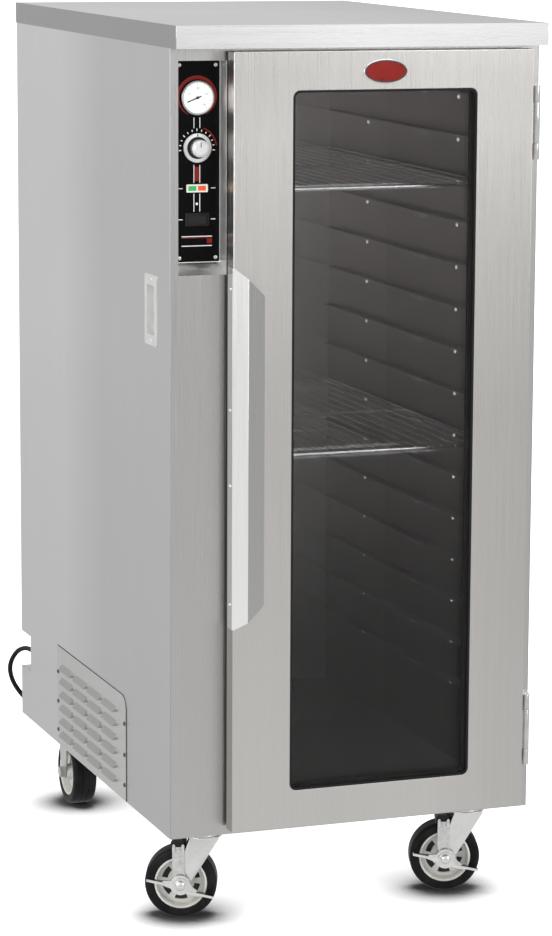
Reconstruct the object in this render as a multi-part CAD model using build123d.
"""Mobile heated holding cabinet on four casters, with a windowed door and a recessed control panel.

Millimetres. X runs to the right as seen from the front, Y to the back, Z up. The origin is on the
floor, under the middle of the cabinet. Every node is written to parts/NODE.step.
"""
import os
from math import atan2, degrees, hypot, pi, radians, tan

from build123d import *

# ---- Driving dimensions ----
wheel_diameter = 127.0      # five inch caster wheel
body_width = 671.0
body_depth = 956.0          # from the face of the control column to the back panel
body_height = 1360.0
caster_height = 166.5       # floor to the underside of the body
cap_height = 38.5
cap_front_overhang = 37.0
cap_side_overhang = 1.0
cap_back_overhang = 3.0
column_width = 113.5        # the control column, left of the cavity
wall_thickness = 45.5       # insulated wall at the right
back_thickness = 45.0
floor_thickness = 33.5      # insulated floor, also the height of the sill
ceiling_thickness = 26.5
skin = 1.5                  # outer sheet
pan_sheet = 3.0             # floor pan, which carries the casters
liner = 1.2                 # cavity sheet
flange = 16.0               # sheet turned in at an edge
cap_sheet = 1.5
soft_gap = 0.3              # between a soft piece, or a moving one, and its neighbour
over = 1.0                  # how far a cutting shape runs past the faces that it cuts
running = 0.05              # radial clearance of a turning fit

# ---- Door ----
door_standoff = 42.0        # from the column's face to the door's face
door_thickness = 32.0
door_left_overlap = 14.6    # of the door over the column, past the cavity's left wall
door_right_overlap = 17.5
door_bottom_overlap = 20.0
door_top_overlap = 21.0
window_left_stile = 105.0
window_right_stile = 104.0
window_bottom_rail = 66.0
window_top_rail = 65.0
window_radius = 13.0
glass = 4.0
glass_lap = 10.0            # of the glass behind the door skin
gasket_lip = 4.0            # of the window gasket inside the opening
gasket_face = 1.5
seal_width = 11.0
seal_inset = 2.0
handle_reach = 30.0
handle_slant = 18.6         # how far the handle's web leans over the door
handle_grip = 28.0          # the flange that the fingers pull
handle_sheet = 2.0
handle_leg = 22.0           # the leg screwed to the door's edge
handle_length = 622.0
handle_bottom_rise = 359.0  # door's bottom edge to the handle's lower end
handle_tip_radius = 20.0

# ---- Hinges ----
hinge_height = 128.0
hinge_rise = 135.5          # door's bottom edge to the middle of the lower hinge
hinge_drop = 127.5          # door's top edge to the middle of the upper hinge
middle_knuckle = 72.0
knuckle_radius = 7.0
hinge_pin_radius = 3.0
hinge_axis_out = 13.0       # the hinge axis, out from the door's edge
hinge_axis_back = 17.5      # the hinge axis, back from the door's face
hinge_leaf = 2.0
hinge_leaf_width = 16.0
hinge_leaf_inset = 4.5      # of the door's leaf behind the door's face
hinge_arm = 6.0

# ---- Control recess ----
recess_width = 85.0
recess_height = 360.0
recess_left = 15.1          # body side to the recess
recess_top = 21.5           # roof to the recess
panel_depth = 30.0          # column face to the panel's face
panel_thickness = 3.0
panel_width = 80.5
panel_height = 338.5
panel_corner = 2.0
panel_clearance = 1.5       # recess ceiling to the panel's upper edge
recess_slope = 18.0         # rise of the recess's sloping bottom
service_margin = 12.0       # of the recess's back plate round its service opening

# ---- Controls, by the height of each centre above the panel's lower edge ----
thermometer_height = 276.6
thermometer_radius = 29.0
thermometer_rim = 3.0
thermometer_proud = 8.0
thermometer_can_radius = 25.0
thermometer_can_depth = 26.0
dial_sink = 5.0
needle_length = 20.0
needle_tail = 7.0
needle_width = 2.0
needle_sheet = 0.8
needle_pin_radius = 1.0
needle_hub_radius = 2.6
needle_pin_depth = 3.5
needle_rest = 202.0         # where the needle points, turned from +X towards +Z
knob_height = 192.7
knob_skirt_radius = 25.0
knob_skirt = 4.0
knob_grip_radius = 15.0
knob_grip_length = 18.0
knob_stand = 1.0            # skirt to panel
knob_chamfer = 1.4
shaft_radius = 3.0
shaft_length = 22.0
bushing_radius = 6.0
thermostat_size = (46.0, 28.0, 40.0)
lamp_height = 124.5
lamp_frame = (38.0, 13.5)
lamp_lens = (14.0, 8.0)
lamp_pitch = 17.0
lamp_depth = 18.0
lens_proud = 0.5            # of the lamp frame's face
switch_height = 72.0
switch_frame = (43.0, 22.0)
switch_hole = (35.0, 15.0)
switch_depth = 24.0
bezel_proud = 2.0
bezel_corner = 1.5
bezel_lip = 2.0             # of the lamp's and the switch's frame over its hole
switch_floor = 4.0
rocker_pivot = 4.0          # pivot behind the bezel's face
rocker_pin_radius = 1.5
rocker_throw = 16.0
rocker_sink = 0.6           # of the rocker's middle behind the bezel's face
rocker_body = 9.0

# ---- Hand grips, vent and cord recess in the side panels ----
grip_plate = (67.0, 121.5)
grip_cup = (43.0, 89.0)
grip_cup_depth = 22.0
grip_front = 69.6           # column face to the grip plate
grip_bottom = 849.0         # underside to the grip plate
grip_sheet = 1.5
vent_front = 254.0          # column face to the vent cover
vent_length = 442.0
vent_height = 192.0
vent_bottom = 1.5
vent_corner = 26.0
vent_lap = 18.0             # of the cover over the edge of its opening
louvre_columns = 4
louvre_rows = 6
louvre_pitch_y = 92.5
louvre_pitch_z = 26.0
louvre_length = 74.0
louvre_radius = 8.0         # half the height of a louvre, and of its round ends
louvre_depth = 7.0          # of a louvre's lip off the cover
louvre_lip = 3.0            # middle of a louvre to its open lip
louvre_sheet = 1.2
louvre_first_y = 67.0       # rear edge of the cover to the middle of the rearmost column
louvre_first_z = 24.0
cord_notch_length = 66.0
cord_notch_height = 71.0
cord_notch_rise = 96.5      # underside to the notch
cord_notch_depth = 44.0
cord_notch_sheet = 1.5

# ---- Cavity fittings ----
slide_pitch = 77.0
slide_first = 143.0         # cavity floor to the lowest screw line
slide_top_gap = 60.0        # least distance from the highest screw line to the cavity's ceiling
slide_leg = 22.0
slide_ledge = 19.0
slide_sheet = 1.5
slide_setback = 30.0
shelf_levels = (6, 12)      # slides that carry a wire shelf, counted from the lowest
shelf_frame_radius = 3.0
shelf_wire_radius = 1.3
shelf_wire_pitch = 25.4
shelf_setback = 58.5        # cavity mouth to the shelf's front rod
shelf_back_gap = 32.5       # shelf's rear rod to the cavity's back
shelf_side_gap = 8.0
shelf_rail_drop = 14.0      # of the lower front rod
air_slot = (6.0, 60.0)
air_slot_columns = 6

# ---- Blower and heater in the service compartment ----
blower_setback = 473.5      # column face to the blower shaft
blower_rise = 98.0          # underside to the blower shaft
blower_radius = 78.0
blower_width = 56.0
blower_sheet = 1.5
blower_inlet_radius = 45.0
fan_radius = 58.0
fan_width = 40.0
fan_plate = 1.8             # sheet of the fan's back plate and front ring
fan_ring = 8.0              # radial width of the front ring
fan_hub = (8.0, 12.0)       # radius, length
blade_count = 16
blade_depth = 11.0
blade_sheet = 1.8
motor_radius = 34.0
motor_length = 44.0
motor_chamfer = 5.0
fan_shaft_radius = 4.0
fan_shaft_in = 28.0         # length of the fan's shaft inside the motor
shaft_clearance = 2.0       # of the blower case round the shaft
outlet_width = 70.0
outlet_height = 60.0
element_radius = 4.0
element_reach = 150.0
element_pitch = 60.0
element_rise = 235.0        # underside to the element's lowest run
element_runs = 2
element_flange = (14.0, 3.0)   # height past the outer runs, thickness

# ---- Casters ----
caster_inset_x = 85.5       # body side to the kingpin
caster_inset_front = 80.5   # column face to the front kingpins
caster_inset_back = 93.0
trail = 37.0
swivel_left = 21.0          # how far each front caster stands turned at rest
swivel_right = 17.0
caster_plate = 96.0
caster_plate_sheet = 3.0
plate_corner = 8.0
bolt_inset = 10.0           # plate edge to the middle of a bolt hole
bolt_hole_radius = 4.5
kingpin_head = 10.0         # length of the kingpin over the fork
tyre_width = 46.0
tyre_shoulder = 8.0
rim_radius = 47.0
rim_thickness = 5.0
rim_setback = 2.0           # of the rim's edge inside the tyre's side
web_thickness = 12.0
hub_radius = 15.0
hub_width = 49.6
axle_radius = 6.0
wheel_slots = 6
slot_inner = 24.0
slot_outer = 34.0
spoke = 10.0
fork_sheet = 3.0
fork_inside = 51.0
fork_crown_width = 50.0
rigid_fork_width = 67.0     # of a rear fork's leg at its top plate
fork_crown_shift = 5.0      # of the crown ahead of the kingpin
fork_eye_radius = 14.0
crown_z = 146.0
crown_radius = 35.0
raceway_radius = 33.0
raceway_top_radius = 26.5
kingpin_radius = 8.0
strap_sheet = 2.5
strap_width = 22.0
pedal_sheet = 4.0
pedal_disc_radius = 18.0
pedal_arm_width = 13.0
pedal_left = (-57.0, 5.0)   # ends of the pedal's arms from the axle
pedal_right = (58.0, -14.0)
pedal_tab = 10.0
shoe_gap = 3.0
shoe_size = (26.0, 34.0, 8.0)
shoe_lean = 7.0             # of the shoe towards the trailing side
side_play = 0.5
hex_radius = 11.0
bolt_head = 8.0
bolt_end = 3.0              # of the axle bolt past its nut

# ---- Power cord ----
cord_diameter = 9.5
relief_radius = 9.0
relief_length = 28.0
relief_neck = 6.7           # where the strain relief passes through the sheet
relief_tip = 5.75
relief_tail = 6.0           # of the strain relief behind the sheet
cord_exit_in = 13.5         # body side to the cord's exit
cord_exit_rise = 131.0      # underside to the cord's exit
cord_stub = 41.0            # straight length outside the strain relief
coil_turn_radius = 52.5
coil_bundle_radius = 9.8
coil_centre = (60.0, 606.0)
plug_radius = 13.0
plug_length = 46.0
plug_chamfer = 2.0
blade_pitch = 12.7
ground_pin_radius = 2.4
ground_pin_drop = 7.0
ground_pin_extra = 3.0      # of the ground pin past the blades
plug_offset = 25.0          # coil's middle to the start of the plug
blade_size = (17.0, 1.6, 6.3)

# ---- Planes that the driving dimensions set ----
left, right = -body_width / 2, body_width / 2
reach = door_standoff + handle_reach
front = -(reach + body_depth + cap_back_overhang) / 2 + reach
back = front + body_depth
base = caster_height
roof = base + body_height
cavity_left = left + column_width
cavity_right = right - wall_thickness
cavity_back = back - back_thickness
cavity_floor = base + floor_thickness
cavity_ceiling = roof - ceiling_thickness
slide_levels = int((cavity_ceiling - slide_top_gap - cavity_floor - slide_first) / slide_pitch) + 1
door_left = cavity_left - door_left_overlap
door_right = cavity_right + door_right_overlap
door_bottom = cavity_floor - door_bottom_overlap
door_top = cavity_ceiling + door_top_overlap
door_front = front - door_standoff
door_back = door_front + door_thickness
window_left = door_left + window_left_stile
window_right = door_right - window_right_stile
window_bottom = door_bottom + window_bottom_rail
window_top = door_top - window_top_rail
hinge_x = door_right + hinge_axis_out
hinge_y = door_front + hinge_axis_back
recess_x = left + recess_left + recess_width / 2
recess_ceiling = roof - recess_top
recess_floor = recess_ceiling - recess_height
panel_face = front + panel_depth
panel_bottom = recess_ceiling - panel_height - panel_clearance
axle_z = wheel_diameter / 2
kingpin_x = body_width / 2 - caster_inset_x
kingpin_y = front + caster_inset_front
rear_axle_y = back - caster_inset_back
notch_bottom = base + cord_notch_rise
notch_top = notch_bottom + cord_notch_height
notch_front = back - cord_notch_length
blower_y = front + blower_setback
blower_z = base + blower_rise


# ---- Drawing helpers ----
def block(x0, x1, y0, y1, z0, z1):
    """A box between two opposite corners."""
    return Pos((x0 + x1) / 2, (y0 + y1) / 2, (z0 + z1) / 2) * Box(x1 - x0, y1 - y0, z1 - z0)


def plate_xz(x0, x1, z0, z1, y0, y1, radius=0.0):
    """A plate that faces the front, with rounded corners if a radius is given."""
    centre = Plane(origin=((x0 + x1) / 2, y1, (z0 + z1) / 2), x_dir=(1, 0, 0), z_dir=(0, -1, 0))
    if radius:
        outline = RectangleRounded(x1 - x0, z1 - z0, radius)
    else:
        outline = Rectangle(x1 - x0, z1 - z0)
    return extrude(centre * outline, y1 - y0)


def frame_xz(outer, inner, y0, y1, outer_radius=0.0, inner_radius=0.0):
    """A flat frame that faces the front; outer and inner are (x0, x1, z0, z1)."""
    return plate_xz(*outer, y0, y1, outer_radius) - plate_xz(*inner, y0 - over, y1 + over, inner_radius)


def grown(rectangle, amount):
    """The rectangle (x0, x1, z0, z1) moved out by an amount on all four sides."""
    x0, x1, z0, z1 = rectangle
    return (x0 - amount, x1 + amount, z0 - amount, z1 + amount)


def rod(start, end, radius):
    """A round bar between two points."""
    along = Vector(*end) - Vector(*start)
    place = Plane(origin=start, z_dir=along)
    return place * Cylinder(radius, along.length, align=(Align.CENTER, Align.CENTER, Align.MIN))


def rod_x(x0, x1, y, z, radius):
    return rod((x0, y, z), (x1, y, z), radius)


def rod_y(x, y0, y1, z, radius):
    return rod((x, y0, z), (x, y1, z), radius)


def rod_z(x, y, z0, z1, radius):
    return rod((x, y, z0), (x, y, z1), radius)


def bent_sheet(points, sheet, z0, z1):
    """A sheet of one thickness that follows a line of points in plan, standing from z0 to z1."""
    wall = None
    for (ax, ay), (bx, by) in zip(points, points[1:]):
        length = hypot(bx - ax, by - ay)
        turn = degrees(atan2(by - ay, bx - ax))
        middle = Pos((ax + bx) / 2, (ay + by) / 2, (z0 + z1) / 2)
        leg = middle * Rot(0, 0, turn) * Box(length, sheet, z1 - z0)
        wall = leg if wall is None else wall + leg
    for x, y in points[1:-1]:
        wall += rod_z(x, y, z0, z1, sheet / 2)
    return wall


def wire(start, end, radius):
    """A thin wire between two points, drawn with six sides."""
    along = Vector(*end) - Vector(*start)
    return extrude(Plane(origin=start, z_dir=along) * RegularPolygon(radius, 6), along.length)


def mirrored(shape):
    """The same piece on the other side of the cabinet."""
    return mirror(shape, about=Plane.YZ)


# ---- Outer panels ----
recess = (recess_x - recess_width / 2, recess_x + recess_width / 2, recess_floor, recess_ceiling)
grip_y0 = front + grip_front
grip_z0 = base + grip_bottom
vent_y0 = front + vent_front
vent_y1 = vent_y0 + vent_length
vent_z0 = base + vent_bottom
vent_z1 = vent_z0 + vent_height


def grip_hole():
    """The hole in the left side panel for the hand grip's cup."""
    y0 = grip_y0 + (grip_plate[0] - grip_cup[0]) / 2
    z0 = grip_z0 + (grip_plate[1] - grip_cup[1]) / 2
    return block(left - over, left + flange, y0, y0 + grip_cup[0], z0, z0 + grip_cup[1])


def side_panel():
    """A flat side sheet with flanges turned in under the lid and over the floor pan, drawn at the left."""
    panel = block(left, left + skin, front, back, base, roof)
    for z in (base + pan_sheet, roof - skin):
        panel += block(left, left + flange, front + skin, back - skin, z, z + skin)
    return panel - grip_hole()


def left_side_panel():
    vent = block(left - over, left + skin + over, vent_y0 + vent_lap, vent_y1 - vent_lap,
                 vent_z0 + vent_lap, vent_z1 - vent_lap)
    notch = block(left - over, left + skin + over, notch_front, back + over, notch_bottom, notch_top)
    return side_panel() - vent - notch


def back_panel():
    panel = block(left + skin, right - skin, back - skin, back, base, roof)
    return panel - block(left, left + cord_notch_depth, back - skin - over, back + over,
                         notch_bottom, notch_top)


def top_cap():
    """The lid: a shallow box with its rim folded in underneath, wider at the overhanging front."""
    x0, x1 = left - cap_side_overhang, right + cap_side_overhang
    y0, y1 = front - cap_front_overhang, back + cap_back_overhang
    top = roof + cap_height
    lid = block(x0, x1, y0, y1, roof, top)
    s = cap_sheet
    lid -= block(x0 + s, x1 - s, y0 + s, y1 - s, roof + s, top - s)
    lid -= block(left + flange, right - flange, front + flange, back - flange, roof - over, roof + s + over)
    edges = lid.edges().filter_by(Axis.Z).filter_by(lambda e: e.length > cap_height / 2)
    return fillet(edges, cap_sheet)


def base_pan():
    """The floor pan that the casters are bolted to, folded up at the front and the back."""
    pan = block(left + skin, right - skin, front + skin, back - skin, base, base + pan_sheet)
    half = body_width / 2 - flange - soft_gap
    for y in (front + skin, back - skin - pan_sheet):
        pan += block(-half, half, y, y + pan_sheet, base, base + flange)
    return pan


def control_column():
    """The narrow front panel left of the door, open for the control recess."""
    panel = block(left + skin, cavity_left, front, front + skin, base, roof)
    return panel - plate_xz(*recess, front - over, front + skin + over)


def door_frame():
    """The front frame over, right of and under the cavity's mouth."""
    sheet = block(cavity_left, right - skin, front, front + skin, base, roof)
    mouth = block(cavity_left - over, cavity_right, front - over, front + skin + over,
                  cavity_floor, cavity_ceiling)
    return sheet - mouth


def vent_cover():
    """The screwed cover with pressed louvres over the service opening in the left side."""
    cover = block(left - skin, left, vent_y0, vent_y1, vent_z0, vent_z1)
    corner = cover.edges().filter_by(Axis.X).sort_by(lambda e: e.center().Z - e.center().Y)[-1]
    cover = fillet(corner, vent_corner)
    hood, hollow = louvre(0), louvre(louvre_sheet)
    places = []
    for column in range(louvre_columns):
        y = vent_y1 - louvre_first_y - column * louvre_pitch_y
        for row in range(louvre_rows):
            places.append(Pos(left - skin, y, vent_z0 + louvre_first_z + row * louvre_pitch_z))
    cover += [place * hood for place in places]
    cover -= [place * hollow for place in places]
    return cover


def louvre(inset):
    """A louvre's outside, or its hollow if inset: a pill with a sloping face, open at its lower lip."""
    h, depth = louvre_radius - inset, louvre_depth - inset
    root = skin + over if inset else skin
    points = [(root, h), (0, h), (-depth, -louvre_lip), (root, -louvre_lip)]
    slope = extrude(Plane.XZ * make_face(Polyline(*points, close=True)), louvre_length / 2, both=True)
    outline = SlotOverall(louvre_length - 2 * inset, 2 * h)
    start = Plane(origin=(root + over, 0, 0), x_dir=(0, 1, 0), z_dir=(-1, 0, 0))
    return slope & extrude(start * outline, root + louvre_depth + 2 * over)


def hand_grip():
    """A pressed cup with a flat rim, drawn at the left."""
    y0, z0 = grip_y0, grip_z0
    y_margin = (grip_plate[0] - grip_cup[0]) / 2
    z_margin = (grip_plate[1] - grip_cup[1]) / 2
    rim = block(left - grip_sheet, left, y0, y0 + grip_plate[0], z0, z0 + grip_plate[1])
    rim = fillet(rim.edges().filter_by(Axis.X), grip_sheet * 3)
    cup = (y0 + y_margin + soft_gap, y0 + grip_plate[0] - y_margin - soft_gap,
           z0 + z_margin + soft_gap, z0 + grip_plate[1] - z_margin - soft_gap)
    floor_x = left + grip_cup_depth
    shell = block(left, floor_x, *cup)
    grip = rim + fillet(shell.edges().group_by(Axis.X)[-1], 6 * grip_sheet)
    y0, y1, z0, z1 = cup
    hollow = block(left - 2 * grip_sheet, floor_x - grip_sheet, y0 + grip_sheet, y1 - grip_sheet,
                   z0 + grip_sheet, z1 - grip_sheet)
    return grip - fillet(hollow.edges().group_by(Axis.X)[-1], 5 * grip_sheet)


def cord_recess_box():
    """The folded box behind the notch at the rear left corner."""
    s = cord_notch_sheet
    x0, x1 = left + skin, left + cord_notch_depth
    y0, y1 = notch_front, back - skin
    box = block(x0, x1 + s, y0 - s, y1, notch_bottom - s, notch_top + s)
    box -= block(x0 - over, x1, y0, y1 + over, notch_bottom, notch_top)
    exit_x, exit_z = left + cord_exit_in, base + cord_exit_rise
    return box - rod_y(exit_x, y0 - s - over, y0 + over, exit_z, relief_neck + running)


# ---- Cavity ----
def duct_wall():
    """The cavity's left wall, with slots for the warm air and a round intake for the blower."""
    x0, x1 = cavity_left - liner, cavity_left
    wall = block(x0, x1, front + skin, cavity_back, cavity_floor, cavity_ceiling)
    intake = rod_x(x0 - over, x1 + over, blower_y, blower_z, blower_inlet_radius)
    length = cavity_back - front
    slots = []
    for column in range(air_slot_columns):
        y = front + (column + 1) * length / (air_slot_columns + 1)
        for level in range(1, slide_levels):
            z = slide_z(level) + slide_pitch / 2
            slots.append(block(x0 - over, x1 + over, y - air_slot[1] / 2, y + air_slot[1] / 2,
                               z - air_slot[0] / 2, z + air_slot[0] / 2))
    return wall - intake - slots


def liner_right_wall():
    return block(cavity_right, cavity_right + liner, front + skin, cavity_back, cavity_floor, cavity_ceiling)


def liner_back_wall():
    return block(cavity_left - liner, cavity_right + liner, cavity_back, cavity_back + liner,
                 cavity_floor - liner, cavity_ceiling + liner)


def liner_ceiling():
    return block(cavity_left - liner, cavity_right + liner, front + skin, cavity_back,
                 cavity_ceiling, cavity_ceiling + liner)


def liner_floor():
    return block(cavity_left - liner, cavity_right + liner, front + skin, cavity_back,
                 cavity_floor - liner, cavity_floor)


def insulation():
    """Blankets in the right wall, the back wall, under the roof and under the cavity's floor."""
    g = soft_gap
    x0, x1 = cavity_left - liner + g, cavity_right + liner
    y0, y1 = front + skin + g, cavity_back + liner
    low, high = cavity_floor - liner, cavity_ceiling + liner
    grip_pocket = block(right - grip_cup_depth - g, right, grip_y0, grip_y0 + grip_plate[0],
                        grip_z0, grip_z0 + grip_plate[1])
    return Compound(children=[
        block(x1 + g, right - skin - g, y0, y1 - g, low + g, high - g) - grip_pocket,
        block(x0, x1 - g, y1 + g, back - skin - g, low + g, high - g),
        block(x0, x1 - g, y0, y1 - g, high + g, roof - skin - g),
        block(x0, x1 - g, y0 + pan_sheet, y1 - g, base + pan_sheet + g, low - g),
    ])


def slide_z(level):
    """Height of a slide's screw line."""
    return cavity_floor + slide_first + level * slide_pitch


def shelf_slides():
    """Angle slides on both walls; each has a leg screwed to the wall and a ledge at its top."""
    y0, y1 = front + slide_setback, cavity_back - slide_setback
    slides = []
    for level in range(slide_levels):
        z0 = slide_z(level) - slide_leg / 2
        z1 = z0 + slide_leg
        for wall, side in ((cavity_left, 1), (cavity_right, -1)):
            inner = wall + side * slide_sheet
            tip = wall + side * slide_ledge
            leg = block(min(wall, inner), max(wall, inner), y0, y1, z0, z1)
            slides.append(leg + block(min(wall, tip), max(wall, tip), y0, y1, z1 - slide_sheet, z1))
    return Compound(children=slides)


def wire_shelf(level):
    """A wire shelf on one pair of slides: a rod frame, a lower front rod and wires on top."""
    r, w = shelf_frame_radius, shelf_wire_radius
    x0, x1 = cavity_left + shelf_side_gap, cavity_right - shelf_side_gap
    y0 = front + shelf_setback
    y1 = cavity_back - shelf_back_gap
    z = slide_z(level) + slide_leg / 2 + r
    bars = [rod_x(x0, x1, y, z, r) for y in (y0, (y0 + y1) / 2, y1)]
    bars += [rod_y(x, y0, y1, z, r) for x in (x0, x1)]
    bars += [Pos(x, y, z) * Sphere(r) for x in (x0, x1) for y in (y0, y1)]
    bars.append(rod_x(x0 + slide_ledge, x1 - slide_ledge, y0, z - shelf_rail_drop, r * 0.8))
    top = z + r + w * 0.5
    count = int((x1 - x0) / shelf_wire_pitch)
    first = (x0 + x1) / 2 - (count - 1) * shelf_wire_pitch / 2
    for index in range(count):
        x = first + index * shelf_wire_pitch
        bars.append(wire((x, y0 - r - w, top), (x, y1 + w, top), w))
        if x0 + slide_ledge < x < x1 - slide_ledge:
            bars.append(wire((x, y0 - r, z - shelf_rail_drop - w), (x, y0 - r, top), w))
    return Part() + bars


# ---- Controls ----
panel_back = panel_face + panel_thickness
panel_top = panel_bottom + panel_height
bezel_face = panel_face - bezel_proud


def control_recess():
    """The folded box behind the column's opening, with a sloping bottom and an open service window."""
    s = liner
    x0, x1, z0, z1 = recess

    def side_outline(grow):
        points = [(front + skin, z0 - grow), (panel_back + grow, z0 + recess_slope - grow),
                  (panel_back + grow, z1 + grow), (front + skin, z1 + grow)]
        return Plane.YZ * make_face(Polyline(*points, close=True))

    box = Pos(x0 - s, 0, 0) * extrude(side_outline(s), recess_width + 2 * s)
    box -= Pos(x0, 0, 0) * extrude(side_outline(0), recess_width)
    m = service_margin
    hatch = block(x0 + m, x1 - m, panel_back - over, panel_back + s + over, panel_bottom + m, panel_top - m)
    return box - hatch


def control_panel():
    """The plate that carries the controls, with a hole for each."""
    x = recess_x
    g = soft_gap
    half = panel_width / 2
    plate = plate_xz(x - half, x + half, panel_bottom, panel_top, panel_face, panel_back, panel_corner)
    y0, y1 = panel_face - over, panel_back + over
    plate -= rod_y(x, y0, y1, panel_bottom + thermometer_height, thermometer_can_radius + g)
    plate -= rod_y(x, y0, y1, panel_bottom + knob_height, bushing_radius + g)
    plate -= centred_block(lamp_body, y0, y1, panel_bottom + lamp_height, g)
    plate -= centred_block(switch_body, y0, y1, panel_bottom + switch_height, g)
    return plate


lamp_body = (lamp_frame[0] - 2 * bezel_lip, lamp_frame[1] - 2 * bezel_lip)
switch_body = (switch_frame[0] - 2 * bezel_lip, switch_frame[1] - 2 * bezel_lip)


def centred_block(size, y0, y1, z, grow=0.0, x=recess_x):
    """A block of a given width and height about a height on the panel's middle line."""
    half_x, half_z = size[0] / 2 + grow, size[1] / 2 + grow
    return block(x - half_x, x + half_x, y0, y1, z - half_z, z + half_z)


def thermometer_case():
    """A round case with a raised bezel, a sunk dial and a hole for the needle's pin."""
    z = panel_bottom + thermometer_height
    face = panel_face - thermometer_proud
    bezel = rod_y(recess_x, face, panel_face, z, thermometer_radius)
    bezel = chamfer(bezel.edges().group_by(Axis.Y)[0], thermometer_rim / 2)
    case = bezel + rod_y(recess_x, panel_face, panel_face + thermometer_can_depth, z, thermometer_can_radius)
    case -= rod_y(recess_x, face - over, face + dial_sink, z, thermometer_radius - thermometer_rim)
    bore_end = face + dial_sink + needle_pin_depth + soft_gap
    return case - rod_y(recess_x, face, bore_end, z, needle_pin_radius + running)


def thermometer_needle():
    """A pointer with a short tail, on a pin that turns in the case."""
    z = panel_bottom + thermometer_height
    dial = panel_face - thermometer_proud + dial_sink
    y0 = dial - 2 * needle_sheet
    pointer = block(-needle_tail, needle_length, y0, y0 + needle_sheet, -needle_width / 2, needle_width / 2)
    pointer = chamfer(pointer.edges().filter_by(Axis.Y).group_by(Axis.X)[-1], needle_width * 0.45)
    needle = Rot(0, -needle_rest, 0) * pointer
    needle += rod((0, y0 - needle_sheet, 0), (0, dial - soft_gap, 0), needle_hub_radius)
    needle += rod((0, dial - soft_gap, 0), (0, dial + needle_pin_depth, 0), needle_pin_radius)
    return Pos(recess_x, 0, z) * needle


def thermostat_knob():
    """A skirted knob with a tall round grip, on a shaft that turns in the thermostat."""
    z = panel_bottom + knob_height
    y = panel_face - knob_stand
    knob = rod_y(recess_x, y - knob_skirt, y, z, knob_skirt_radius)
    knob = chamfer(knob.edges().group_by(Axis.Y)[0], knob_chamfer)
    knob += rod_y(recess_x, y - knob_skirt - knob_grip_length, y - knob_skirt, z, knob_grip_radius)
    knob = chamfer(knob.edges().group_by(Axis.Y)[0], knob_chamfer)
    return knob + rod_y(recess_x, y, y + shaft_length, z, shaft_radius)


def thermostat_body():
    """The control behind the panel, with the bushing that the knob's shaft turns in."""
    z = panel_bottom + knob_height
    width, depth, height = thermostat_size
    body = centred_block((width, height), panel_back, panel_back + depth, z)
    body += rod_y(recess_x, panel_face - knob_stand / 2, panel_back, z, bushing_radius)
    y0, y1 = panel_face - knob_stand, panel_face - knob_stand + shaft_length + soft_gap
    return body - rod_y(recess_x, y0, y1, z, shaft_radius + running)


def indicator_housing():
    """The frame that holds the two signal lamps."""
    z = panel_bottom + lamp_height
    x0, z0 = recess_x - lamp_frame[0] / 2, z - lamp_frame[1] / 2
    frame = plate_xz(x0, x0 + lamp_frame[0], z0, z0 + lamp_frame[1], bezel_face, panel_face, bezel_corner)
    frame += centred_block(lamp_body, panel_face, panel_face + lamp_depth, z)
    for side in (-1, 1):
        x = recess_x + side * lamp_pitch / 2
        frame -= centred_block(lamp_lens, bezel_face - over, panel_face + lamp_depth / 2, z, x=x)
    return frame


def indicator_lenses():
    """The two coloured lenses of the signal lamps."""
    z = panel_bottom + lamp_height
    y0, y1 = bezel_face - lens_proud, panel_face + lamp_depth / 2
    lenses = [centred_block(lamp_lens, y0, y1, z, x=recess_x + side * lamp_pitch / 2) for side in (-1, 1)]
    return Compound(children=lenses)


def switch_bezel():
    """The rocker switch's case: a frame on the panel and a hollow body behind it."""
    z = panel_bottom + switch_height
    x0, z0 = recess_x - switch_frame[0] / 2, z - switch_frame[1] / 2
    case = plate_xz(x0, x0 + switch_frame[0], z0, z0 + switch_frame[1], bezel_face, panel_face, bezel_corner)
    case += centred_block(switch_body, panel_face, panel_face + switch_depth, z)
    case -= centred_block(switch_hole, bezel_face - over, panel_face + switch_depth - switch_floor, z)
    y = bezel_face + rocker_pivot
    reach_z = (switch_hole[1] + switch_body[1]) / 4
    return case - rod_z(recess_x, y, z - reach_z, z + reach_z, rocker_pin_radius + running)


def switch_rocker():
    """The rocker: a drum on two pins with a shallow V for a face, resting on one side."""
    half = switch_hole[0] / 2
    rise = half * tan(radians(rocker_throw / 2))
    face = rocker_sink - rocker_pivot
    points = [(-half, face - rise), (0, face), (half, face - rise), (half, rocker_body), (-half, rocker_body)]
    outline = make_face(Polyline(*points, close=True)) & Circle(half - soft_gap)
    height = switch_hole[1] - 2 * soft_gap
    rocker = Pos(0, 0, -height / 2) * extrude(outline, height)
    pin = (switch_hole[1] + switch_body[1]) / 4 - soft_gap
    rocker += rod_z(0, 0, -pin, pin, rocker_pin_radius)
    place = Pos(recess_x, bezel_face + rocker_pivot, panel_bottom + switch_height)
    return place * Rot(0, 0, -rocker_throw / 2) * rocker


# ---- Blower and heater ----
service_wall = cavity_left - liner


def blower_housing():
    """A scroll case against the duct wall, open at its intake and at the top of its outlet."""
    x0, x1 = service_wall - blower_width, service_wall
    s = blower_sheet

    def scroll(grow):
        y, z, r = blower_y, blower_z, blower_radius - grow
        case = rod_x(x0 + grow, x1 - grow, y, z, r)
        top = z + blower_radius + outlet_height
        return case + block(x0 + grow, x1 - grow, y + r - outlet_width + 2 * grow, y + r, z, top + grow - s)

    housing = scroll(0) - scroll(s)
    housing -= rod_x(x1 - s - over, x1 + over, blower_y, blower_z, blower_inlet_radius)
    top = blower_z + blower_radius + outlet_height
    y1 = blower_y + blower_radius - s
    housing -= block(x0 + s, x1 - s, y1 - outlet_width + 3 * s, y1, blower_z, top + over)
    return housing - rod_x(x0 - over, x0 + s + over, blower_y, blower_z, fan_shaft_radius + shaft_clearance)


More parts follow.
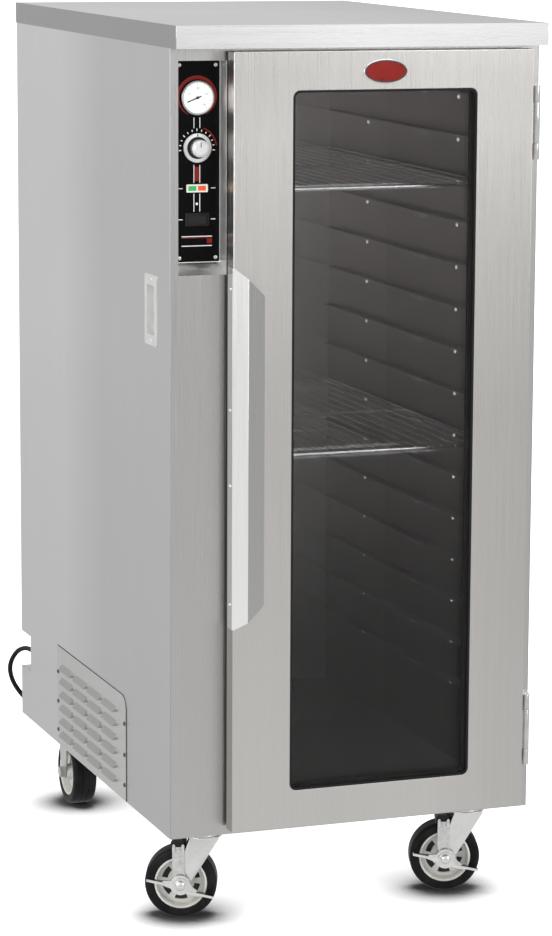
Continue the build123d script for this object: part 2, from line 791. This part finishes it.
def blower_motor():
    """The motor on the outside of the blower case, with a bore for its shaft."""
    x1 = service_wall - blower_width
    x0 = x1 - motor_length
    motor = rod_x(x0, x1, blower_y, blower_z, motor_radius)
    motor = chamfer(motor.edges().group_by(Axis.X)[0], motor_chamfer)
    bore_start = x1 - fan_shaft_in - soft_gap
    return motor - rod_x(bore_start, x1 + over, blower_y, blower_z, fan_shaft_radius + running)


def blower_wheel():
    """A squirrel cage: a back plate, a ring of blades, a front ring, and the motor's shaft."""
    x0 = service_wall - (blower_width + fan_width) / 2
    x1 = x0 + fan_width
    y, z, r = blower_y, blower_z, fan_radius
    fan = rod_x(x0, x0 + fan_plate, y, z, r)
    ring_bore = rod_x(x1 - fan_plate - over, x1 + over, y, z, r - fan_ring)
    fan += rod_x(x1 - fan_plate, x1, y, z, r) - ring_bore
    blade = block(x0, x1, -blade_sheet / 2, blade_sheet / 2, r - blade_depth, r - blade_sheet)
    blades = [Pos(0, y, z) * Rot(index * 360 / blade_count, 0, 0) * blade for index in range(blade_count)]
    hub = rod_x(x0, x0 + fan_hub[1], y, z, fan_hub[0])
    shaft = rod_x(service_wall - blower_width - fan_shaft_in, x0 + fan_hub[1], y, z, fan_shaft_radius)
    return fan + blades + hub + shaft


def heating_element():
    """A tubular element folded in runs over the blower's outlet, on a flange on the duct wall."""
    x = service_wall - blower_width / 2
    y0 = blower_y - blower_radius
    y1 = y0 + element_reach
    z0 = base + element_rise + element_radius
    z1 = z0 + (element_runs - 1) * element_pitch
    points = [(x, y0, z0)]
    for run in range(element_runs - 1):
        z = z0 + run * element_pitch
        far = y0 + element_pitch if run % 2 else y1
        points += [(x, far, z), (x, far, z + element_pitch)]
    points.append((x, y0, z1))
    path = FilletPolyline(*points, radius=element_pitch * 0.45)
    tube = sweep(Plane(origin=points[0], z_dir=(0, 1, 0)) * Circle(element_radius), path)
    past, sheet = element_flange
    return tube + block(x - blower_width / 2, service_wall, y0 - sheet, y0, z0 - past, z1 + past)


# ---- Door ----
door = (door_left, door_right, door_bottom, door_top)
window = (window_left, window_right, window_bottom, window_top)
pane_front = door_front + skin + gasket_face
pane_back = door_back - skin - gasket_face


def door_skin():
    """The door's outer pan: a face with edges folded back and a window."""
    x0, x1, z0, z1 = door
    pan = block(x0, x1, door_front, door_back, z0, z1)
    pan = fillet(pan.edges().group_by(Axis.Y)[0], skin)
    pan -= block(x0 + skin, x1 - skin, door_front + skin, door_back + over, z0 + skin, z1 - skin)
    return pan - plate_xz(*window, door_front - over, door_back, window_radius)


def door_inner_pan():
    """The sheet that closes the door's back, inside the outer pan's edges."""
    pan = plate_xz(*grown(door, -skin), door_back - skin, door_back)
    return pan - plate_xz(*window, door_back - skin - over, door_back + over, window_radius)


def window_panes():
    """The outer and the inner glass."""
    size = grown(window, glass_lap)
    radius = window_radius + glass_lap
    return Compound(children=[
        plate_xz(*size, pane_front, pane_front + glass, radius),
        plate_xz(*size, pane_back - glass, pane_back, radius),
    ])


def window_gasket():
    """Black rubber rings in front of, between and behind the panes; the front one lines the opening."""
    outer = grown(window, glass_lap)
    inner = grown(window, -gasket_lip)
    outer_radius, inner_radius = window_radius + glass_lap, window_radius - gasket_lip
    lip = frame_xz(window, inner, door_front + skin / 3, pane_front, window_radius, inner_radius)
    front_ring = frame_xz(outer, inner, door_front + skin, pane_front, outer_radius, inner_radius)
    spacer = frame_xz(outer, inner, pane_front + glass, pane_back - glass, outer_radius, inner_radius)
    back_ring = frame_xz(outer, inner, pane_back, door_back - skin, outer_radius, inner_radius)
    return Compound(children=[lip + front_ring, spacer, back_ring])


def door_seal():
    """The soft seal round the door's back, which meets the front frame and the column."""
    outer = grown(door, -seal_inset)
    inner = grown(outer, -seal_width)
    return frame_xz(outer, inner, door_back, front - soft_gap, seal_width, seal_width / 2)


def door_handle():
    """A folded sheet on the door's free edge: a leg, a slanting web and a flange, ends cut at 45."""
    half = handle_sheet / 2
    leg_x = door_left - half
    tip_y = door_front - handle_reach + half
    web_x = leg_x + handle_slant
    z0 = door_bottom + handle_bottom_rise
    z1 = z0 + handle_length
    path = [(leg_x, door_front + handle_leg), (leg_x, door_front)]
    path += [(web_x, tip_y), (web_x + handle_grip, tip_y)]
    sheet = bent_sheet(path, handle_sheet, z0, z1)
    width = handle_slant + handle_grip + half
    points = [(door_left, z0), (door_left + width, z0 + width), (door_left + width, z1 - width),
              (door_left, z1), (door_left - 3 * half, z1), (door_left - 3 * half, z0)]
    outline = make_face(Polyline(*points, close=True))
    tips = outline.vertices().group_by(Axis.X)[-1]
    outline = fillet(tips, handle_tip_radius)
    face = Plane(origin=(0, door_back, 0), x_dir=(1, 0, 0), z_dir=(0, -1, 0))
    return sheet & extrude(face * outline, door_thickness + reach)


# ---- Hinges ----
hinge_middles = (door_bottom + hinge_rise, door_top - hinge_drop)


def hinge_ends(z):
    """Heights of a hinge's bottom, its two splits and its top, from the height of its middle."""
    return z - hinge_height / 2, z - middle_knuckle / 2, z + middle_knuckle / 2, z + hinge_height / 2


def door_hinge_leaf(z):
    """A plate on the door's edge with the middle knuckle on an arm."""
    z0, z1 = hinge_ends(z)[1:3]
    z0, z1 = z0 + soft_gap, z1 - soft_gap
    leaf = block(door_right, door_right + hinge_leaf, door_front + hinge_leaf_inset, door_back - skin, z0, z1)
    leaf += block(door_right, hinge_x, hinge_y - hinge_arm / 2, hinge_y + hinge_arm / 2, z0, z1)
    leaf += rod_z(hinge_x, hinge_y, z0, z1, knuckle_radius)
    return leaf - rod_z(hinge_x, hinge_y, z0 - over, z1 + over, hinge_pin_radius + running)


def body_hinge_leaf(z):
    """A plate on the front frame with the outer knuckles, their arms and the pin."""
    z0, z1, z2, z3 = hinge_ends(z)
    x0 = hinge_x - hinge_arm / 2
    leaf = block(x0, x0 + hinge_leaf_width, front - hinge_leaf, front, z0, z3)
    for low, high in ((z0, z1), (z2, z3)):
        leaf += block(x0, x0 + hinge_arm, hinge_y, front - hinge_leaf, low, high)
        leaf += rod_z(hinge_x, hinge_y, low, high, knuckle_radius)
    return leaf + rod_z(hinge_x, hinge_y, z0, z3, hinge_pin_radius)


# ---- Casters, drawn with the kingpin on the Z axis and the axle along Y ----
leg_inner = fork_inside / 2
leg_outer = leg_inner + fork_sheet
strap_inner = leg_outer + side_play
strap_outer = strap_inner + strap_sheet
pedal_inner = strap_outer + side_play
pedal_outer = pedal_inner + pedal_sheet
mount_z = base - caster_plate_sheet


def tyre():
    """The rubber tyre, with rounded shoulders."""
    outer = wheel_diameter / 2
    section = Pos((outer + rim_radius) / 2, 0) * Rectangle(outer - rim_radius, tyre_width)
    shoulders = section.vertices().group_by(Axis.X)[-1]
    return revolve(Plane.XY * fillet(shoulders, tyre_shoulder), Axis.Y)


def wheel_centre():
    """The rim, a web with arched slots, and the hub with its bore."""
    half_rim = tyre_width / 2 - rim_setback
    rim = rod((0, -half_rim, 0), (0, half_rim, 0), rim_radius)
    rim -= rod((0, -tyre_width, 0), (0, tyre_width, 0), rim_radius - rim_thickness)
    web = rod((0, -web_thickness / 2, 0), (0, web_thickness / 2, 0), rim_radius - rim_thickness / 2)
    slots = rod((0, -web_thickness, 0), (0, web_thickness, 0), slot_outer)
    slots -= rod((0, -web_thickness, 0), (0, web_thickness, 0), slot_inner)
    divider = block(0, slot_outer + over, -web_thickness - over, web_thickness + over, -spoke / 2, spoke / 2)
    for index in range(wheel_slots):
        slots -= Rot(0, index * 360 / wheel_slots, 0) * divider
    hub = rod((0, -hub_width / 2, 0), (0, hub_width / 2, 0), hub_radius)
    bore = rod((0, -hub_width, 0), (0, hub_width, 0), axle_radius + running)
    return rim + (web - slots) + hub - bore


def wheel():
    return Compound(children=[tyre(), wheel_centre()])


def leg_outline(axle_x, top_z, crown_x, crown_width):
    """A fork leg's side view: a strip at the crown drawn down to an eye round the axle."""
    eye = Pos(axle_x, axle_z) * Circle(fork_eye_radius)
    strip = Pos(crown_x, top_z - fork_sheet / 2) * Rectangle(crown_width, fork_sheet)
    leg = make_face(make_hull(eye.edges() + strip.edges()))
    return leg - Pos(axle_x, axle_z) * Circle(axle_radius + running)


def fork_legs(axle_x, top_z, crown_x, crown_width):
    """The two legs of a fork, either side of the wheel."""
    outline = leg_outline(axle_x, top_z, crown_x, crown_width)
    legs = []
    for y in (leg_outer, -leg_inner):
        place = Plane(origin=(0, y, 0), x_dir=(1, 0, 0), z_dir=(0, -1, 0))
        legs.append(extrude(place * outline, fork_sheet))
    return legs


def swivel_fork():
    """A fork with a round crown and the kingpin that it turns on."""
    top = crown_z + fork_sheet
    fork = rod_z(0, 0, crown_z, top, crown_radius)
    fork += block(fork_crown_shift - fork_crown_width / 2, fork_crown_shift + fork_crown_width / 2,
                  -leg_outer, leg_outer, crown_z, top)
    fork += fork_legs(-trail, top, fork_crown_shift, fork_crown_width)
    return fork + rod_z(0, 0, top, top + kingpin_head, kingpin_radius)


def swivel_mount():
    """The top plate and raceway, bored for the kingpin."""
    half = caster_plate / 2
    low = crown_z + fork_sheet + soft_gap
    plate = block(-half, half, -half, half, mount_z, base)
    plate = fillet(plate.edges().filter_by(Axis.Z), plate_corner)
    plate += Pos(0, 0, (low + mount_z) / 2) * Cone(raceway_radius, raceway_top_radius, mount_z - low)
    pin_top = crown_z + fork_sheet + kingpin_head
    plate -= rod_z(0, 0, low - over, pin_top + soft_gap, kingpin_radius + running)
    return plate - plate_bolt_holes()


def plate_bolt_holes():
    """Four holes through a caster's top plate."""
    half = caster_plate / 2 - bolt_inset
    hole = rod_z(0, 0, mount_z - over, base + over, bolt_hole_radius)
    return [Pos(x, y) * hole for x in (-half, half) for y in (-half, half)]


def rigid_fork():
    """A fork welded to its top plate."""
    half = caster_plate / 2
    plate = block(-half, half, -half, half, mount_z, base)
    plate = fillet(plate.edges().filter_by(Axis.Z), plate_corner)
    return plate - plate_bolt_holes() + fork_legs(0, mount_z, 0, rigid_fork_width)


def hexagon(y0, y1, radius):
    """A hexagonal bar along Y."""
    end = Plane(origin=(0, y1, 0), x_dir=(1, 0, 0), z_dir=(0, -1, 0))
    return extrude(end * RegularPolygon(radius, 6), y1 - y0)


def axle_bolt(head_y):
    """A bolt through the fork and the wheel, with its head at the outer side and a nut at the inner."""
    bolt = rod((0, head_y, 0), (0, leg_outer + bolt_head + bolt_end, 0), axle_radius)
    bolt += hexagon(head_y - bolt_head, head_y, hex_radius)
    return bolt + hexagon(leg_outer, leg_outer + bolt_head, hex_radius)


def brake_pedal():
    """A double-ended rocker on the axle bolt, with a tab bent out at each end."""
    place = Plane(origin=(0, -pedal_inner, 0), x_dir=(1, 0, 0), z_dir=(0, -1, 0))
    outline = Circle(pedal_disc_radius)
    tabs = []
    for x, z in (pedal_left, pedal_right):
        length = hypot(x, z)
        turn = degrees(atan2(z, x))
        outline += Rot(0, 0, turn) * Pos(length / 2, 0) * Rectangle(length, pedal_arm_width)
        tab = block(length - pedal_sheet, length, -pedal_outer - pedal_tab, -pedal_inner,
                    -pedal_arm_width / 2, pedal_arm_width / 2)
        tabs.append(Rot(0, -turn, 0) * tab)
    outline -= Circle(axle_radius + running)
    return extrude(place * outline, pedal_sheet) + tabs


def brake_shoe():
    """A strap with a slot for the axle bolt, bent over the tyre to a rubber-faced shoe."""
    place = Plane(origin=(0, -strap_inner, 0), x_dir=(1, 0, 0), z_dir=(0, -1, 0))
    length, width, thickness = shoe_size
    bottom = wheel_diameter / 2 + shoe_gap
    top = bottom + thickness + strap_sheet
    strap = Pos(-shoe_lean / 2, (top - fork_eye_radius) / 2) * Rectangle(strap_width, top + fork_eye_radius)
    slot = SlotOverall(2 * (axle_radius + running) + 2 * shoe_gap, 2 * (axle_radius + running))
    strap -= Rot(0, 0, 90) * slot
    shoe = extrude(place * strap, strap_sheet)
    x0, x1 = -shoe_lean / 2 - strap_width / 2, -shoe_lean / 2 + strap_width / 2
    shoe += block(x0, x1, -strap_outer, width / 2, top - strap_sheet, top)
    pad = block(-shoe_lean / 2 - length / 2, -shoe_lean / 2 + length / 2, -width / 2, width / 2,
                bottom - thickness, bottom + thickness)
    pad -= rod((0, -width, 0), (0, width, 0), bottom)
    return shoe + pad


def at_front(side, shape, on_axle=False):
    """Place a swivelled caster piece under a front corner; side is -1 at the left and 1 at the right."""
    turn = swivel_left if side < 0 else swivel_right
    if on_axle:
        shape = Pos(-trail, 0, axle_z) * shape
    return Pos(side * kingpin_x, kingpin_y, 0) * Rot(0, 0, -turn) * shape


def at_back(side, shape, on_axle=False):
    """Place a caster piece under a rear corner, with its axle's head outwards."""
    if on_axle:
        shape = Pos(0, 0, axle_z) * shape
    return Pos(side * kingpin_x, rear_axle_y, 0) * Rot(0, 0, side * 90) * shape


# ---- Power cord ----
cord_radius = cord_diameter / 2
exit_x = left + cord_exit_in
exit_z = base + cord_exit_rise
relief_end = notch_front + relief_length
cord_route = [
    (exit_x, relief_end, exit_z),
    (exit_x, relief_end + cord_stub, exit_z),
    (-334.0, 556.0, 283.0),
    (-345.0, 578.0, 247.0),
    (-332.0, 590.0, 205.0),
    (-298.0, 595.0, 163.0),
    (-254.0, 597.0, 120.0),
    (-205.0, 599.0, 78.0),
    (-150.0, 603.0, 40.0),
    (-94.0, 608.0, 13.5),
    (-34.0, 617.0, cord_radius),
    (coil_centre[0] - 40.2, coil_centre[1] + 33.7, cord_radius + 0.7),
]


def bend_radii(route):
    """The largest arc at each inner point that leaves a tenth of the shorter run straight."""
    radii = []
    for before, here, after in zip(route, route[1:], route[2:]):
        into, out = Vector(*here) - Vector(*before), Vector(*after) - Vector(*here)
        half_turn = radians(into.get_angle(out)) / 2
        radii.append(0.45 * min(into.length, out.length) / tan(half_turn))
    return radii


def power_cord():
    path = FilletPolyline(*cord_route, radius=bend_radii(cord_route))
    start = Plane(origin=cord_route[0], z_dir=Vector(*cord_route[1]) - Vector(*cord_route[0]))
    tube = sweep(start * Circle(cord_radius), path)
    print("cord radii", [round(r) for r in bend_radii(cord_route)], "length", round(path.length))
    print("cord volume ratio", round(tube.volume / (path.length * pi * cord_radius**2), 4))
    return tube


def cord_coil():
    """The outer shape of the coiled length, lying on the floor: a ring with an octagonal section."""
    section = Plane.XZ * Pos(coil_turn_radius, 0) * RegularPolygon(coil_bundle_radius, 8, major_radius=False)
    return Pos(*coil_centre, coil_bundle_radius) * revolve(section, Axis.Z)


def strain_relief():
    """A tapered bushing through the recess's wall."""
    cone = Plane(origin=(exit_x, notch_front, exit_z), z_dir=(0, 1, 0)) * Cone(
        relief_radius, relief_tip, relief_length, align=(Align.CENTER, Align.CENTER, Align.MIN))
    tail_end = notch_front - cord_notch_sheet - relief_tail
    return cone + rod_y(exit_x, tail_end, notch_front, exit_z, relief_neck)


def cord_plug():
    """A moulded plug with two flat blades and a round pin, lying beside the coil."""
    x0 = coil_centre[0] + plug_offset
    y, z = coil_centre[1] + coil_turn_radius + coil_bundle_radius, plug_radius
    x1 = x0 + plug_length
    body = rod_x(x0 + plug_length / 3, x1, y, z, plug_radius)
    body = chamfer(body.edges().group_by(Axis.X)[-1], plug_chamfer)
    body += Plane(origin=(x0, y, z), z_dir=(1, 0, 0)) * Cone(
        relief_tip, plug_radius, plug_length / 3, align=(Align.CENTER, Align.CENTER, Align.MIN))
    length, sheet, height = blade_size
    for side in (-1, 1):
        blade_y = y + side * blade_pitch / 2
        body += block(x1, x1 + length, blade_y - sheet / 2, blade_y + sheet / 2, z, z + height)
    return body + rod_x(x1, x1 + length + ground_pin_extra, y, z - ground_pin_drop, ground_pin_radius)


# ---- All nodes ----
nodes = {
    "top_cap": top_cap(),
    "left_side_panel": left_side_panel(),
    "right_side_panel": mirrored(side_panel()),
    "back_panel": back_panel(),
    "base_pan": base_pan(),
    "control_column": control_column(),
    "door_frame": door_frame(),
    "control_recess": control_recess(),
    "duct_wall": duct_wall(),
    "liner_right_wall": liner_right_wall(),
    "liner_back_wall": liner_back_wall(),
    "liner_ceiling": liner_ceiling(),
    "liner_floor": liner_floor(),
    "insulation": insulation(),
    "shelf_slides": shelf_slides(),
    "wire_shelf_lower": wire_shelf(shelf_levels[0]),
    "wire_shelf_upper": wire_shelf(shelf_levels[1]),
    "blower_housing": blower_housing(),
    "blower_motor": blower_motor(),
    "blower_wheel": blower_wheel(),
    "heating_element": heating_element(),
    "vent_cover": vent_cover(),
    "hand_grip_left": hand_grip(),
    "hand_grip_right": mirrored(hand_grip()),
    "cord_recess_box": cord_recess_box(),
    "strain_relief": strain_relief(),
    "power_cord": power_cord(),
    "cord_coil": cord_coil(),
    "cord_plug": cord_plug(),
    "control_panel": control_panel(),
    "thermometer_case": thermometer_case(),
    "thermometer_needle": thermometer_needle(),
    "thermostat_body": thermostat_body(),
    "thermostat_knob": thermostat_knob(),
    "indicator_housing": indicator_housing(),
    "indicator_lenses": indicator_lenses(),
    "switch_bezel": switch_bezel(),
    "switch_rocker": switch_rocker(),
    "door_skin": door_skin(),
    "door_inner_pan": door_inner_pan(),
    "window_panes": window_panes(),
    "window_gasket": window_gasket(),
    "door_seal": door_seal(),
    "door_handle": door_handle(),
    "hinge_leaves_door": Compound(children=[door_hinge_leaf(z) for z in hinge_middles]),
    "hinge_leaves_body": Compound(children=[body_hinge_leaf(z) for z in hinge_middles]),
    "rear_caster_forks": Compound(children=[
        at_back(side, piece, on_axle) for side in (-1, 1)
        for piece, on_axle in ((rigid_fork(), False), (axle_bolt(-leg_outer), True))
    ]),
    "swivel_mounts": Compound(children=[
        Pos(x, kingpin_y) * swivel_mount() for x in (-kingpin_x, kingpin_x)
    ]),
}
for word, side in (("left", -1), ("right", 1)):
    nodes["fork_front_" + word] = at_front(side, swivel_fork())
    nodes["axle_front_" + word] = at_front(side, axle_bolt(-pedal_outer - soft_gap), on_axle=True)
    nodes["brake_pedal_" + word] = at_front(side, brake_pedal(), on_axle=True)
    nodes["brake_shoe_" + word] = at_front(side, brake_shoe(), on_axle=True)
    nodes["wheel_front_" + word] = at_front(side, wheel(), on_axle=True)
    nodes["wheel_rear_" + word] = at_back(side, wheel(), on_axle=True)

os.makedirs("parts", exist_ok=True)
for name, shape in nodes.items():
    export_step(shape, f"parts/{name}.step")
